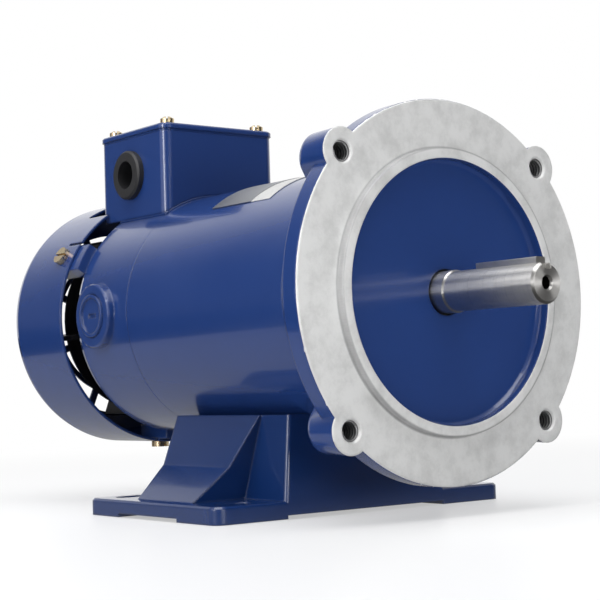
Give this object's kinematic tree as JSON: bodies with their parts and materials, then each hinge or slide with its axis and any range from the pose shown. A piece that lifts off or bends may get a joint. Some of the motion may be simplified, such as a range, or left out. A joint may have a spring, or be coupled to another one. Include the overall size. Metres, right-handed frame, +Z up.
{
  "type": "dc motor",
  "caption": "Foot- and face-mounted permanent-magnet direct current motor with keyed shaft, side brushes, wiring box and fan shroud.",
  "frame": {"origin": "centre of the bolt circle on the machined mounting face, on the shaft axis", "axes": "+X out along the shaft, +Z up from the foot, +Y to the right seen from the shaft end"},
  "size_m": [0.3064, 0.156, 0.1821],
  "materials": {
    "blue_paint": "glossy royal blue enamel on castings and pressings",
    "ground_steel": "ground steel",
    "key_steel": "bright drawn steel",
    "zinc_yellow": "yellow zinc plated steel",
    "zinc_clear": "clear zinc plated steel",
    "black_rubber": "black rubber",
    "ferrite": "sintered ferrite, dark grey",
    "lamination": "stacked sheet steel",
    "copper": "copper, varnished on the windings",
    "graphite": "graphite brush block",
    "phenolic": "black moulded insulation",
    "black_plastic": "black moulded plastic",
    "bearing_steel": "hardened bearing steel",
    "spring_steel": "spring steel",
    "bare_plate": "bare aluminium plate with no print",
    "bare_label": "white label with no print"
  },
  "bodies": {
    "stator": {"base_foot": "blue_paint", "base_bolts": "zinc_clear", "frame_tube": "blue_paint", "field_magnets": "ferrite", "front_end_bell": "blue_paint", "rear_end_bell": "blue_paint", "through_bolts": "zinc_clear", "bearing_outer_rings": "bearing_steel", "shaft_seal": "black_rubber", "brush_holders": "phenolic", "brush_caps": "phenolic", "brush_spring_left": "spring_steel", "brush_spring_right": "spring_steel", "fan_shroud": "blue_paint", "shroud_screws": "zinc_yellow", "box_gasket": "black_rubber", "conduit_box": "blue_paint", "box_mount_screws": "zinc_clear", "ground_screw": "zinc_yellow", "cover_gasket": "black_rubber", "box_cover": "blue_paint", "cover_screws": "zinc_yellow", "cable_grommet": "black_rubber", "nameplate": "bare_plate", "plate_label": "bare_label"},
    "rotor": {"shaft": "ground_steel", "shaft_key": "key_steel", "armature_core": "lamination", "armature_windings": "copper", "commutator": "copper", "commutator_hub": "phenolic", "cooling_fan": "black_plastic", "fan_clip": "spring_steel", "bearing_inner_rings": "bearing_steel"},
    "brush_left": {"brush_left": "graphite"},
    "brush_right": {"brush_right": "graphite"}
  },
  "joints": [
    {"name": "rotor_spin", "type": "hinge", "parent": "stator", "child": "rotor", "pos_m": [0, 0, 0], "axis": [1, 0, 0], "continuous": true},
    {"name": "brush_left_slide", "type": "slide", "parent": "stator", "child": "brush_left", "axis": [0, -1, 0], "range_m": [0, 0.004], "stiffness_N_per_m": 200, "springref_m": -0.015, "deforming": ["brush_spring_left"]},
    {"name": "brush_right_slide", "type": "slide", "parent": "stator", "child": "brush_right", "axis": [0, 1, 0], "range_m": [0, 0.004], "stiffness_N_per_m": 200, "springref_m": -0.015, "deforming": ["brush_spring_right"]}
  ]
}
